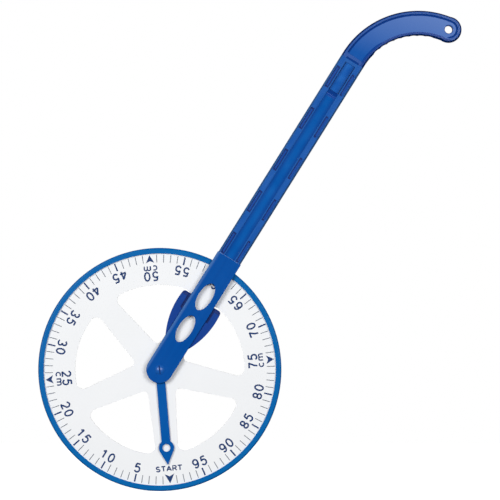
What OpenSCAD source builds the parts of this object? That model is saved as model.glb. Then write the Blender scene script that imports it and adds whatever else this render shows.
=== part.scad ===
// Trundle wheel: a spoked measuring wheel on a leaning arm with a curved grip.
// The ground point under the axle is the origin, z is up and the front faces -y.

/* [Wheel] */
// Distance rolled in one turn
travel_per_turn = 1000; // [800:1:1200]
// Thickness of the printed disc
disc_t = 3; // [2:0.1:5]
// Width of the printed ring between the windows and the tyre
ring_w = 41; // [25:0.5:55]
// Number of spokes
spoke_count = 5; // [4:1:6]
// Distance from the axle to the point where a window's two sides meet
window_start = 31; // [24:0.5:45]
// Angle by which each spoke narrows towards the ring on each side
spoke_taper = 2.5; // [0:0.1:5]
// Radius of a window's two outer corners
window_corner_r = 9; // [3:0.5:14]
// Radius of a window's inner corner
window_nose_r = 6; // [2:0.5:10]
// Angle of the scale's start, to the right of straight down
start_lean = 4.9; // [-20:0.1:20]

/* [Tyre] */
// Height of the tyre as seen from the front
tyre_h = 7.25; // [5:0.25:12]
// Width of the tyre across the tread
tyre_w = 9; // [7:0.5:14]
// Depth of the disc's edge inside the tyre
tyre_grip = 3.1; // [1.5:0.1:4]
// Radius of the tread's two edges
tread_edge_r = 2.4; // [0.5:0.1:3]

/* [Hub] */
// Radius of the axle
axle_r = 4; // [3:0.1:5.5]
// Outer radius of the bearing bush
bush_r = 7; // [6.5:0.1:10]
// Radius of the bush's flange
flange_r = 14; // [10.5:0.5:16]
// Length of the bush along the axle
hub_w = 5.2; // [4:0.1:9]
// Outer radius of the washer and the spacer
washer_r = 9; // [7:0.5:12]
// Thickness of the washer behind the pointer
washer_t = 0.4; // [0.3:0.1:1]
// Radius of the axle's domed head
head_r = 6.5; // [6:0.1:9]
// Height of the axle's domed head
head_h = 2.4; // [1.5:0.1:4]
// Width of the split across the head
split_w = 1.3; // [0.6:0.1:2]
// Depth of the split
split_d = 1.8; // [0.8:0.1:2.2]
// Angle of the split, from the arm
split_turn = -12; // [-90:1:90]
// Radius of the push nut on the axle's rear end
nut_r = 8; // [7:0.5:12]
// Thickness of the push nut
nut_t = 1.2; // [0.8:0.1:2]
// Length of the axle past the push nut
axle_past = 1.2; // [0.6:0.1:3]

/* [Pointer] */
// Thickness of the pointer
pointer_t = 2; // [1.5:0.1:3]
// Width of the pointer's stem
pointer_w = 11.5; // [6:0.5:14]
// Radius of the pointer round the axle
pointer_hub_r = 9; // [7:0.5:14]
// Outer radius of the eye
eye_r = 10; // [7:0.5:12]
// Radius of the hole in the eye
eye_hole_r = 5.1; // [2:0.1:5.5]
// Distance from the eye's centre to the tip
eye_to_tip = 22.5; // [18:0.5:30]
// Distance from the tip to the tyre
tip_gap = 26.7; // [20:0.1:40]
// Angle at which the pointer hangs, to the right of straight down
pointer_lean = 4.9; // [-20:0.1:20]

/* [Legs] */
// Lean of the arm from upright
arm_lean = 32; // [20:0.5:45]
// Width of a leg
leg_w = 35; // [33:0.5:44]
// Thickness of a leg's outer plate
leg_plate_t = 2.4; // [1.6:0.1:4]
// Thickness of a leg's side walls
leg_wall = 2; // [1.4:0.1:2.6]
// Length of a leg past the tyre
leg_past_rim = 12.85; // [12:0.05:30]
// Radius of a leg's boss round the axle
leg_boss_r = 9; // [7:0.5:13]
// Length of an oval window
oval_l = 39.4; // [20:0.2:42]
// Width of an oval window
oval_w = 18.4; // [8:0.2:20]
// Distance from the axle to the lower oval's centre
oval_low = 63.2; // [60:0.1:68]
// Distance between the two ovals' centres
oval_step = 49; // [44:0.5:52]

/* [Clicker] */
// Thickness of the clicker's plate
clicker_t = 2; // [1.5:0.1:3]
// Distance from the arm's middle to a wing's outer edge
wing_reach = 29.5; // [26:0.5:36]
// Radius of a wing's outer edge
wing_r = 105; // [90:1:160]
// Distance from the axle to a wing's widest place
wing_at = 91; // [86:0.5:96]
// Distance from the axle to the free end of the wings
wing_end = 106; // [102:0.5:112]
// Radius of a wing's outer corner
wing_corner_r = 4; // [2:0.5:6]
// Height of a wing above the clicker's plate
wing_lift = 1.6; // [0.8:0.1:2.5]
// Width of the slot between a wing and the leg
wing_slot_w = 3.1; // [2:0.1:4]
// Length of the slot between a wing and the leg
wing_slot_l = 22; // [12:0.5:30]
// Distance from the axle to the bar on which the clicker rocks
rock_at = 40; // [37:0.5:41]
// Radius of that bar
rock_r = 1.6; // [1.2:0.1:1.8]
// Distance from the arm's middle to the lugs that hold the bar
lug_side = 5; // [3:0.5:8]
// Thickness of a lug
lug_t = 2.4; // [1.6:0.1:3]
// Length of a lug past the bar's middle
lug_wrap = 1.2; // [0.8:0.1:1.2]
// Distance from an oval window's edge to the clicker's arms
oval_margin = 1.4; // [1:0.1:2]
// Radius of the nib that the stud lifts
nib_r = 1.8; // [1.2:0.1:2.5]
// Distance from the arm's middle to the nib
nib_side = 24.5; // [23:0.1:26]
// Distance from the axle to the nib, along the arm
nib_at = 100; // [95:0.5:101]
// Radius of the click stud's head
stud_r = 2.4; // [1.8:0.1:3]
// Height of the click stud's head
stud_h = 1; // [0.8:0.1:1.2]
// Radius of the click stud's shank
stud_shank_r = 1.4; // [1:0.1:1.6]
// Height of the stud's riveted end behind the disc
rivet_h = 0.5; // [0.3:0.1:1]
// Angle from a spoke's middle to the click stud
stud_turn = 6; // [0:0.1:6]

/* [Shaft] */
// Width of the shaft and the grip
shaft_w = 33.4; // [32:0.2:42]
// Depth of the shaft and the grip, front to back
shaft_d = 21; // [20:0.5:28]
// Length of the shaft above the legs
shaft_l = 303; // [300:1:420]
// Thickness of the front and rear walls
face_wall = 2.6; // [2.4:0.1:3.4]
// Thickness of the side walls
side_wall = 3.1; // [2.6:0.1:3.3]
// Distance by which a side slopes in from the parting plane to the face
side_slope = 2.2; // [0.8:0.1:2.3]
// Width of the channel down the front
channel_w = 14.6; // [13:0.2:16]
// Depth of the channel
channel_d = 0.8; // [0.4:0.1:1.2]
// Thickness of the wall that closes the shaft's foot
end_wall = 1.6; // [1.2:0.1:2.2]
// Number of pairs of snap slots
slot_count = 5; // [3:1:5]
// Distance from the leg's end to the first snap slot
slot_start = 0.5; // [0.3:0.1:2]
// Length of a snap slot
slot_l = 32; // [28:0.5:40]
// Distance from one snap slot to the next
slot_pitch = 64; // [56:0.5:64]
// Width of a snap slot
slot_w = 5; // [4.4:0.1:5.2]
// Depth of a snap slot's recess
slot_d = 1.2; // [0.9:0.1:1.3]
// Distance from the arm's middle to a snap slot's middle
slot_side = 11.5; // [11:0.1:11.6]
// Thickness of a snap fin
fin_t = 1.3; // [1:0.1:1.6]
// Distance from a snap slot's end to its fin
fin_inset = 2; // [1.8:0.1:4]
// Height of a fin's head
fin_head = 0.7; // [0.5:0.1:0.8]
// Depth of the barb on each side of a fin
barb = 0.6; // [0.4:0.1:0.8]

/* [Latch and joint] */
// Width of the latch tongue
latch_w = 12.4; // [9:0.2:12.6]
// Length of the latch tongue
latch_l = 41; // [34:0.5:42]
// Thickness of the latch tongue
latch_t = 2; // [1.6:0.1:2.2]
// Height of the tongue above the channel
latch_lift = 0.4; // [0:0.1:0.6]
// Distance from the shaft's top to the latch window
latch_drop = 4.8; // [4:0.1:8]
// Width of the nib under the tongue
latch_nib_w = 8; // [5:0.5:9]
// Length of the nib
latch_nib_l = 3; // [2:0.1:5]
// Distance from the tongue's window's lower end to the nib
latch_nib_from = 3; // [2:0.1:5]
// Radius of the tongue's trunnions
trunnion_r = 0.8; // [0.6:0.05:0.9]
// Length of the finger scoop below the tongue
scoop_l = 8.5; // [6:0.5:10]
// Distance from the channel's side to the finger scoop
scoop_margin = 1; // [0.4:0.1:3]
// Depth of the finger scoop
scoop_d = 1.1; // [0.5:0.1:1.2]
// Length of the joint plug inside the shaft
plug_in_shaft = 49; // [46:0.5:60]
// Length of the joint plug inside the grip
plug_in_grip = 21; // [18:0.5:26]
// Thickness of the joint plug's walls
plug_wall = 2.2; // [1.6:0.1:3]
// Gap between the shaft's end and the grip's end
seam_gap = 0.4; // [0.2:0.1:1]

/* [Grip] */
// Radius of the grip's bend along its middle
bend_r = 99.25; // [90:0.25:130]
// Angle through which the grip bends
bend_sweep = 81.6; // [78:0.2:95]
// Length of the straight stretch between the joint and the bend
stub_l = 3.6; // [2:0.2:12]
// Width of the raised border round the grip's panel
border_w = 5; // [3.6:0.1:6]
// Depth of the recessed panel
panel_d = 1.2; // [0.6:0.1:1.4]
// Height of the border across the panel's lower end
panel_foot = 6; // [4.5:0.1:9]
// Distance by which the grip's round end stands out past its sides
end_swell = 0.5; // [0.3:0.1:1]
// Radius of the hanging hole
hole_r = 5.2; // [3:0.1:6]
// Wall round the hanging hole
hole_wall = 2.4; // [1.6:0.1:3]
// Number of finger scallops
scallop_count = 8; // [4:1:8]
// Angle of the bend taken by one scallop
scallop_step = 7.2; // [5:0.1:7.4]
// Angle along the bend to the first scallop
scallop_from = 14; // [6:0.5:18]
// Depth of a scallop
scallop_d = 1.2; // [0.6:0.1:1.3]
// Radius of a scallop
scallop_r = 14; // [10:0.5:20]

/* [Screws] */
// Radius of a screw's shank
screw_r = 1.5; // [1.2:0.05:1.7]
// Radius of a screw's head
screw_head_r = 3; // [2.5:0.1:3.2]
// Height of a screw's head
screw_head_h = 1.9; // [1.2:0.1:2.2]
// Distance from the arm's middle to a leg screw
leg_screw_side = 8; // [5:0.5:9]
// Distance from a leg's end to the leg screws
leg_screw_drop = 4.4; // [4.2:0.1:5.5]
// Wall of a screw post
post_wall = 1.6; // [1.2:0.1:2]
// Angles along the bend to the grip screws
post_turns = [5, 42, 73]; // [4:1:75]
// Depth of a grip screw's head below the panel
head_sink = 0.8; // [0.4:0.1:1.5]
// Distance from a grip screw's tip to the front wall
screw_tip_gap = 2; // [1:0.1:4]

/* [Clearances] */
// Radial clearance of what turns on the axle
axle_play = 0.05; // [0.02:0.01:0.1]
// Radial clearance of what is fixed on a pin or screw
fixed_fit = 0.03; // [0.01:0.01:0.1]
// Clearance between faces that turn against each other
face_play = 0.1; // [0.05:0.05:0.3]
// Clearance between fixed pieces that slide together
slide_fit = 0.2; // [0.1:0.05:0.4]
// Clearance beside pieces that flex
flex_gap = 0.3; // [0.3:0.05:0.6]
// Clearance between the pointer and the clicker
clicker_gap = 0.7; // [0.4:0.1:1.5]
// Room for the clicker to rock behind the leg's plate
rock_room = 2; // [1.9:0.1:3]
// Clearance between the disc and the nib
nib_gap = 0.5; // [0.3:0.05:0.6]
// Clearance between the tyre and the legs
rim_clear = 1; // [0.6:0.1:2]
// Distance from the tyre to the shaft's foot
foot_clear = 4.2; // [2:0.1:4.4]
// Length of the shaft's tongues inside the legs
foot_tongue_l = 26; // [18:0.5:34]

/* [Hidden] */
// Facets of a large circle
fine = 180;
// Wheel radii
wheel_r = travel_per_turn / (2 * PI);
tyre_in = wheel_r - tyre_h;
disc_r = tyre_in + tyre_grip;
window_out = tyre_in - ring_w;
spoke_step = 360 / spoke_count;
side_turn = spoke_step / 2 + spoke_taper;
tip_r = tyre_in - tip_gap;
eye_at = tip_r - eye_to_tip;
nib_reach = norm([nib_side, nib_at]);
stud_spoke = floor(spoke_count / 2) * spoke_step;
// Distances from the wheel's middle plane, from the disc outwards
washer_near = hub_w / 2 + face_play;
washer_far = washer_near + washer_t;
pointer_near = washer_far + face_play;
pointer_far = pointer_near + pointer_t;
boss_face = pointer_far + face_play;
clicker_near = pointer_far + clicker_gap;
clicker_far = clicker_near + clicker_t;
rock_depth = (clicker_near + clicker_far) / 2;
wall_near = max(tyre_w / 2 + rim_clear, boss_face);
plate_near = clicker_far + rock_room;
leg_face = plate_near + leg_plate_t;
// Places along the arm, from the axle
leg_end = wheel_r + leg_past_rim;
foot_from = wheel_r + foot_clear;
leg_screw_at = leg_end - leg_screw_drop;
shaft_top = leg_end + shaft_l;
latch_top = shaft_top - latch_drop;
latch_low = latch_top - latch_l - 2 * flex_gap;
latch_root = latch_top - 2 * flex_gap - trunnion_r;
grip_low = shaft_top + seam_gap;
bend_at = grip_low + stub_l;
slot_from = leg_end + slot_start;
// Depths in the shaft and the grip, from their parting plane
half_d = shaft_d / 2;
inner_d = half_d - face_wall;
channel_floor = half_d - channel_d;
slot_floor = half_d - slot_d;
panel_floor = half_d - panel_d;
panel_w = shaft_w - 2 * border_w;
latch_out = channel_floor + latch_lift;
latch_in = latch_out - latch_t;
trunnion_depth = latch_out - latch_t / 2;
inner_w = shaft_w - 2 * side_wall;
foot_w = leg_w - 2 * leg_wall - 2 * slide_fit;
foot_face = plate_near - slide_fit;
// Snap fins
fin_l = slot_l - 2 * fin_inset;
plug_w = 2 * (slot_side - fin_t / 2 - flex_gap);
plug_d = 2 * (inner_d - flex_gap);
plug_low = shaft_top - plug_in_shaft;
plug_top = grip_low + plug_in_grip;
// Latch nib, in the joint plug's window
latch_nib_low = latch_low + latch_nib_from;
latch_nib_depth = plug_d / 2 - plug_wall + flex_gap;
// Screw posts in the grip
post_r = screw_r + post_wall;
head_post_r = screw_head_r + slide_fit + post_wall;
head_seat = panel_floor - screw_head_h - head_sink;
screw_reach = inner_d - screw_tip_gap;
panel_turn = (panel_foot - stub_l) / bend_r * 180 / PI;

// Axes of the arm: x across it, z along it from the axle
module on_arm() {
    translate([0, 0, wheel_r]) rotate([0, arm_lean, 0]) children();
}

// Axes of the wheel, with the scale's start straight down
module on_wheel(lean = start_lean) {
    translate([0, 0, wheel_r]) rotate([0, -lean, 0]) children();
}

// Axes at the centre of the grip's bend, or at a distance and an angle from it: z to the rear
module on_bend(r = 0, turn = 0) {
    translate([bend_r, 0, bend_at]) rotate([90, 0, 180])
        translate([r * cos(turn), r * sin(turn), 0]) children();
}

// A flat outline made into a plate between two depths
module slab(near, far) {
    translate([0, far, 0]) rotate([90, 0, 0]) linear_extrude(far - near) children();
}

// A round bar from front to rear between two depths
module bar(r, near, far) {
    translate([0, far, 0]) rotate([90, 0, 0]) cylinder(r = r, h = far - near, $fn = 64);
}

// A round bar across the arm
module cross_bar(r, half_l) {
    rotate([0, 90, 0]) cylinder(r = r, h = 2 * half_l, center = true, $fn = 48);
}

// A box from its middle across, its front depth and its lower end
module block(w, near, far, low, high) {
    translate([-w / 2, near, low]) cube([w, far - near, high - low]);
}

function arc(centre, r, from, to, steps) =
    [for (i = [0 : steps]) let (a = from + (to - from) * i / steps) centre + r * [cos(a), sin(a)]];

// One window of the disc, on the upright: two straight sides, round corners, outer edge on a circle
module window_outline() {
    inside = [-cos(side_turn), sin(side_turn)];
    along = [sin(side_turn), cos(side_turn)];
    start = [0, window_start];
    b = window_start * cos(side_turn);
    c = pow(norm(start + window_corner_r * inside), 2) - pow(window_out - window_corner_r, 2);
    corner = start + (sqrt(b * b - c) - b) * along + window_corner_r * inside;
    corner_turn = atan2(corner[1], corner[0]);
    nose = [0, window_start + window_nose_r / sin(side_turn)];
    polygon(concat(
        arc(corner, window_corner_r, -side_turn, corner_turn, 10),
        arc([0, 0], window_out, corner_turn, 180 - corner_turn, 30),
        arc([-corner[0], corner[1]], window_corner_r, 180 - corner_turn, 180 + side_turn, 10),
        arc(nose, window_nose_r, 180 + side_turn, 360 - side_turn, 10)));
}

// Where the click stud sits on the disc, as the scale's start is straight down
module at_stud() {
    turn = stud_spoke + stud_turn;
    translate([nib_reach * sin(turn), 0, -nib_reach * cos(turn)]) children();
}

module wheel_disc() {
    color("white") on_wheel() difference() {
        slab(-disc_t / 2, disc_t / 2) difference() {
            circle(disc_r, $fn = fine);
            for (i = [0 : spoke_count - 1])
                rotate(180 + (i + 0.5) * spoke_step) window_outline();
        }
        bar(bush_r + fixed_fit, -disc_t, disc_t);
        at_stud() bar(stud_shank_r + fixed_fit, -disc_t, disc_t);
    }
}

module tyre_section() {
    difference() {
        union() {
            translate([tyre_in, -tyre_w / 2]) square([tyre_h - tread_edge_r, tyre_w]);
            translate([tyre_in, -tyre_w / 2 + tread_edge_r])
                square([tyre_h, tyre_w - 2 * tread_edge_r]);
            for (side = [-1, 1])
                translate([wheel_r - tread_edge_r, side * (tyre_w / 2 - tread_edge_r)])
                    circle(tread_edge_r, $fn = 48);
        }
        translate([0, -disc_t / 2 - fixed_fit]) square([disc_r + fixed_fit, disc_t + 2 * fixed_fit]);
    }
}

module tyre() {
    color("dodgerblue") on_wheel() rotate([90, 0, 0]) rotate_extrude($fn = fine) tyre_section();
}

module hub_bush() {
    color("ivory") on_wheel() difference() {
        union() {
            bar(bush_r, -hub_w / 2, hub_w / 2);
            bar(flange_r, -hub_w / 2, -disc_t / 2);
        }
        bar(axle_r + axle_play, -hub_w, hub_w);
    }
}

module click_stud() {
    color("white") on_wheel() at_stud() {
        translate([0, -disc_t / 2, 0]) rotate([90, 0, 0])
            cylinder(r1 = stud_r, r2 = stud_shank_r, h = stud_h, $fn = 48);
        bar(stud_shank_r, -disc_t / 2, disc_t / 2);
        bar(stud_r, disc_t / 2, disc_t / 2 + rivet_h);
    }
}

// The pointer's outline: a hub, a straight stem, and an eye drawn out to a tip
module pointer_outline() {
    flank = acos(eye_r / eye_to_tip);
    stem = acos(pointer_w / 2 / eye_r);
    hub = acos(pointer_w / 2 / pointer_hub_r);
    polygon(concat(
        [[0, -tip_r]],
        arc([0, -eye_at], eye_r, flank - 90, stem, 16),
        arc([0, 0], pointer_hub_r, -hub, 180 + hub, 40),
        arc([0, -eye_at], eye_r, 180 - stem, 270 - flank, 16)));
}

module pointer() {
    color("royalblue") on_wheel(pointer_lean) difference() {
        slab(-pointer_far, -pointer_near) pointer_outline();
        bar(axle_r + axle_play, -leg_face, 0);
        translate([0, 0, -eye_at]) bar(eye_hole_r, -leg_face, 0);
    }
}

module pointer_washer() {
    color("white") on_arm() difference() {
        bar(washer_r, -washer_far, -washer_near);
        bar(axle_r + fixed_fit, -leg_face, 0);
    }
}

module rear_spacer() {
    color("white") on_arm() difference() {
        bar(washer_r, washer_near, boss_face);
        bar(axle_r + fixed_fit, 0, leg_face);
    }
}

module axle_pin() {
    dome_r = (head_r * head_r + head_h * head_h) / (2 * head_h);
    color("royalblue") on_arm() {
        bar(axle_r, -leg_face, leg_face + nut_t + axle_past);
        difference() {
            intersection() {
                translate([0, dome_r - head_h - leg_face, 0]) sphere(dome_r, $fn = 96);
                bar(head_r, -leg_face - head_h, -leg_face);
            }
            rotate([0, split_turn, 0])
                block(split_w, -leg_face - head_h, split_d - leg_face - head_h, -head_r, head_r);
        }
    }
}

module axle_push_nut() {
    color("silver") on_arm() difference() {
        bar(nut_r, leg_face, leg_face + nut_t);
        bar(axle_r + fixed_fit, 0, 2 * leg_face);
    }
}

// A leg's outline, or the space inside its walls
module leg_outline(inset, extra) {
    circle(leg_w / 2 - inset, $fn = 96);
    translate([-leg_w / 2 + inset, 0]) square([leg_w - 2 * inset, leg_end + extra]);
}

module oval(at) {
    polygon([for (a = [0 : 6 : 354]) [oval_w / 2 * cos(a), at + oval_l / 2 * sin(a)]]);
}

module leg_tray() {
    difference() {
        slab(-leg_face, -wall_near) leg_outline(0, 0);
        slab(-plate_near, 0) leg_outline(leg_wall, leg_wall);
        slab(-2 * leg_face, 0) oval(oval_low);
        slab(-2 * leg_face, 0) oval(oval_low + oval_step);
    }
    bar(leg_boss_r, -plate_near - leg_plate_t / 2, -boss_face);
}

module at_leg_screws() {
    for (side = [-1, 1]) translate([side * leg_screw_side, 0, leg_screw_at]) children();
}

module front_leg() {
    color("royalblue") on_arm() difference() {
        union() {
            difference() {
                leg_tray();
                block(leg_w + leg_wall, -plate_near, 0, rock_at - 2 * rock_r, wing_end + wing_corner_r);
            }
            at_leg_screws() bar(post_r, -plate_near - leg_plate_t / 2, -wall_near);
            for (side = [-1, 1]) translate([side * lug_side, 0, 0])
                block(lug_t, -plate_near - leg_plate_t / 2, lug_wrap - rock_depth,
                    rock_at - 2 * rock_r, rock_at + 2 * rock_r);
        }
        bar(axle_r + fixed_fit, -2 * leg_face, 0);
        at_leg_screws() bar(screw_r + fixed_fit, -plate_near, 0);
        translate([0, -rock_depth, rock_at]) cross_bar(rock_r + axle_play, leg_w / 2);
    }
}

module rear_leg() {
    color("royalblue") on_arm() difference() {
        mirror([0, 1, 0]) leg_tray();
        bar(axle_r + fixed_fit, 0, 2 * leg_face);
        at_leg_screws() bar(screw_r + slide_fit, 0, 2 * leg_face);
    }
}

// One wing of the clicker as a flat outline, from a distance off the arm's middle outwards
module wing_outline(inner) {
    top = wing_end - wing_corner_r;
    corner_x = wing_reach - wing_r + sqrt(pow(wing_r - wing_corner_r, 2) - pow(top - wing_at, 2));
    low = rock_at - rock_r;
    intersection() {
        translate([wing_reach - wing_r, wing_at]) circle(wing_r, $fn = fine);
        union() {
            translate([inner, low]) square([wing_reach, top - low]);
            translate([inner, low]) square([corner_x - inner, wing_end - low]);
            translate([corner_x, top]) circle(wing_corner_r, $fn = 48);
        }
    }
}

module clicker() {
    arm_inner = oval_w / 2 + oval_margin;
    wing_inner = leg_w / 2 + flex_gap;
    bar_half = leg_w / 2 - leg_wall - flex_gap;
    nib_face = disc_t / 2 + nib_gap;
    color("mediumblue") on_arm() {
        difference() {
            for (side = [0, 1]) mirror([side, 0, 0]) {
                slab(-clicker_far, -clicker_near) wing_outline(arm_inner);
                slab(-clicker_far - wing_lift, -clicker_far) wing_outline(wing_inner);
            }
            for (side = [0, 1]) mirror([side, 0, 0])
                translate([wing_inner + wing_slot_w / 2, 0, 0])
                    block(wing_slot_w, -clicker_far - 2 * wing_lift, -clicker_near - clicker_t / 2,
                        wing_end - wing_slot_l, wing_end + wing_corner_r);
        }
        translate([0, -rock_depth, rock_at]) cross_bar(rock_r, bar_half);
        translate([-nib_side, 0, nib_at]) {
            bar(nib_r, -clicker_near, -nib_face - nib_r);
            translate([0, -nib_face - nib_r, 0]) sphere(nib_r, $fn = 48);
        }
    }
}

module leg_screws() {
    color("silver") on_arm() at_leg_screws() {
        bar(screw_r, -plate_near, leg_face);
        bar(screw_head_r, leg_face, leg_face + screw_head_h);
    }
}

// Half of the shaft's outside as a flat outline: parting plane along y = 0, sides sloping in to the face
module half_section(w = shaft_w) {
    polygon([[-w / 2, 0], [side_slope - w / 2, -half_d], [w / 2 - side_slope, -half_d], [w / 2, 0]]);
}

module shell_section() {
    difference() {
        half_section();
        translate([-inner_w / 2, -inner_d]) square([inner_w, half_d]);
    }
}

// Half of the shaft, front side: closed at its foot, with a tongue inside the leg
module shaft_half() {
    translate([0, 0, leg_end]) {
        linear_extrude(end_wall) half_section();
        linear_extrude(shaft_l) shell_section();
    }
    block(foot_w, -foot_face, 0, foot_from, leg_end + end_wall / 2);
    block(foot_w, -foot_face, -wall_near - slide_fit, leg_end - foot_tongue_l, leg_end + end_wall / 2);
}

module at_slots() {
    for (i = [0 : slot_count - 1]) for (side = [-1, 1])
        translate([side * slot_side, 0, slot_from + slot_l / 2 + i * slot_pitch]) children();
}

module shaft_front_shell() {
    scoop_r = (scoop_l * scoop_l / 4 + scoop_d * scoop_d) / (2 * scoop_d);
    scoop_half = channel_w / 2 - scoop_margin;
    color("royalblue") on_arm() difference() {
        shaft_half();
        block(channel_w, -half_d, -channel_floor, leg_end, latch_top);
        block(channel_w, -half_d, 0, latch_low, latch_top);
        translate([0, scoop_d - channel_floor - scoop_r, latch_low - scoop_l / 2])
            cross_bar(scoop_r, scoop_half);
        translate([0, -trunnion_depth, latch_root])
            cross_bar(trunnion_r + axle_play, channel_w / 2 + 2 * trunnion_r + slide_fit);
        at_slots() {
            block(slot_w, -half_d, -slot_floor, -slot_l / 2, slot_l / 2);
            block(fin_t + 2 * flex_gap, -half_d, 0, -fin_l / 2 - flex_gap, fin_l / 2 + flex_gap);
        }
        at_leg_screws() {
            bar(screw_r + slide_fit, -wall_near, 0);
            bar(post_r + slide_fit, -plate_near, -wall_near + slide_fit);
        }
    }
}

module shaft_rear_shell() {
    color("royalblue") on_arm() {
        difference() {
            mirror([0, 1, 0]) shaft_half();
            at_leg_screws() bar(screw_r + slide_fit, 0, leg_face);
        }
        at_slots() {
            block(fin_t, -slot_floor - fin_head, inner_d, -fin_l / 2, fin_l / 2);
            block(fin_t + 2 * barb, -slot_floor - fin_head, -slot_floor, -fin_l / 2, fin_l / 2);
        }
    }
}

module latch_tongue() {
    color("dodgerblue") on_arm() {
        block(latch_w, -latch_out, -latch_in, latch_low + flex_gap, latch_top - flex_gap);
        block(latch_nib_w, -latch_in, -latch_nib_depth, latch_nib_low, latch_nib_low + latch_nib_l);
        translate([0, -trunnion_depth, latch_root]) cross_bar(trunnion_r, channel_w / 2 + 2 * trunnion_r);
    }
}

module joint_plug() {
    color("royalblue") on_arm() difference() {
        block(plug_w, -plug_d / 2, plug_d / 2, plug_low, plug_top);
        block(plug_w - 2 * plug_wall, plug_wall - plug_d / 2, plug_d / 2 - plug_wall,
            plug_low - plug_wall, plug_top + plug_wall);
        block(latch_nib_w + 2 * flex_gap, -half_d, 0,
            latch_nib_low - flex_gap, latch_nib_low + latch_nib_l + flex_gap);
        on_bend(bend_r, post_turns[0]) translate([0, 0, -half_d]) {
            cylinder(r = post_r + slide_fit, h = half_d, $fn = 48);
            translate([0, 0, half_d]) cylinder(r = head_post_r + slide_fit, h = half_d, $fn = 48);
        }
    }
}

// Axes at the hanging hole, at the end of the bend
module at_hole() {
    on_bend(bend_r, bend_sweep) children();
}

// A flat outline drawn down from the bend's start
module down_stub(l) {
    on_bend(bend_r) rotate([90, 0, 0]) linear_extrude(l) children();
}

// A flat outline swept along the bend from an angle to its end
module along_bend(from) {
    on_bend() rotate_extrude(start = from, angle = bend_sweep - from, $fn = fine)
        translate([bend_r, 0]) children();
}

// Half of the grip's outside, front side: a straight stub, the bend and the round end
module grip_body() {
    down_stub(stub_l) half_section();
    along_bend(0) half_section();
    at_hole() rotate_extrude($fn = 96) intersection() {
        half_section(shaft_w + 2 * end_swell);
        translate([0, -shaft_d]) square([shaft_w, shaft_d]);
    }
}

// A room inside the grip between two depths, along the bend and round its end
module grip_room(w, near, far, from) {
    along_bend(from) translate([-w / 2, near]) square([w, far - near]);
    at_hole() translate([0, 0, near]) cylinder(r = w / 2 + end_swell, h = far - near, $fn = 96);
}

// Half of the grip's shell, front side, with the recess inside its border and the wall round the hole
module grip_half() {
    difference() {
        grip_body();
        down_stub(stub_l + seam_gap) translate([-inner_w / 2, -inner_d]) square([inner_w, shaft_d]);
        grip_room(inner_w, -inner_d, half_d, 0);
        grip_room(panel_w, -shaft_d, -panel_floor, panel_turn);
    }
    at_hole() translate([0, 0, -panel_floor]) cylinder(r = hole_r + hole_wall, h = panel_floor, $fn = 64);
}

module at_posts() {
    for (turn = post_turns) on_bend(bend_r, turn) children();
}

// The hanging hole and the finger scallops on the bend's inner side
module grip_cuts() {
    at_hole() translate([0, 0, -shaft_d]) cylinder(r = hole_r, h = 2 * shaft_d, $fn = 64);
    for (i = [0 : scallop_count - 1])
        on_bend(bend_r - shaft_w / 2 + scallop_d - scallop_r, scallop_from + (i + 0.5) * scallop_step)
            translate([0, 0, -shaft_d]) cylinder(r = scallop_r, h = 2 * shaft_d, $fn = 96);
}

module grip_front_shell() {
    color("cornflowerblue") on_arm() difference() {
        union() {
            grip_half();
            at_posts() translate([0, 0, -panel_floor]) cylinder(r = post_r, h = panel_floor, $fn = 48);
        }
        grip_cuts();
        at_posts() translate([0, 0, -screw_reach]) cylinder(r = screw_r + fixed_fit, h = half_d, $fn = 48);
    }
}

module grip_rear_shell() {
    color("cornflowerblue") on_arm() difference() {
        union() {
            mirror([0, 1, 0]) grip_half();
            at_posts() cylinder(r = head_post_r, h = panel_floor, $fn = 48);
        }
        grip_cuts();
        at_posts() {
            cylinder(r = screw_r + slide_fit, h = half_d, $fn = 48);
            translate([0, 0, head_seat]) cylinder(r = screw_head_r + slide_fit, h = half_d, $fn = 48);
        }
    }
}

module grip_screws() {
    color("silver") on_arm() at_posts() {
        translate([0, 0, -screw_reach]) cylinder(r = screw_r, h = screw_reach + head_seat, $fn = 48);
        translate([0, 0, head_seat]) cylinder(r = screw_head_r, h = screw_head_h, $fn = 48);
    }
}

wheel_disc();
tyre();
hub_bush();
click_stud();
pointer();
pointer_washer();
rear_spacer();
axle_pin();
axle_push_nut();
front_leg();
rear_leg();
clicker();
leg_screws();
shaft_front_shell();
shaft_rear_shell();
latch_tongue();
joint_plug();
grip_front_shell();
grip_rear_shell();
grip_screws();
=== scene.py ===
import bpy
import math
from mathutils import Matrix, Vector


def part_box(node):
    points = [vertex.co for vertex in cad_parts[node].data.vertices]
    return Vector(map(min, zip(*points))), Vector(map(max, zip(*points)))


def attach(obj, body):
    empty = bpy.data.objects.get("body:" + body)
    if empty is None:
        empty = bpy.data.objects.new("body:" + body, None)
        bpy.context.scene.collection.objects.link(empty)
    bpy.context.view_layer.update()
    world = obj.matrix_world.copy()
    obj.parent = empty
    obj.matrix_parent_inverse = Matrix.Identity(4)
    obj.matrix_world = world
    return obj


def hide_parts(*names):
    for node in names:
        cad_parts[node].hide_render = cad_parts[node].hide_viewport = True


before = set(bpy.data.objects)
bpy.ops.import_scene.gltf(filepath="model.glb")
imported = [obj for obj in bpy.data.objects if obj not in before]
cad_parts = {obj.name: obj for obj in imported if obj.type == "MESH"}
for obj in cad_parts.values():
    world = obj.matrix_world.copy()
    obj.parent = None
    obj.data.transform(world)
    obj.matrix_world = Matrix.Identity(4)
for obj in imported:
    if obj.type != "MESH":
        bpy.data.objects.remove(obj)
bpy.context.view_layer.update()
mm = 0.001
weld = 0.01 * mm  # points nearer than this are one
hair = 0.02 * mm  # slack for a point on a cut
near = 0.05 * mm  # slack for a point on a face
loose = 0.1 * mm  # slack beside a rounded edge
flatWithin = math.radians(0.03)  # faces that differ less lie in one plane
faceOn = 0.9  # a normal with this much y looks to the front or the rear
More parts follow.
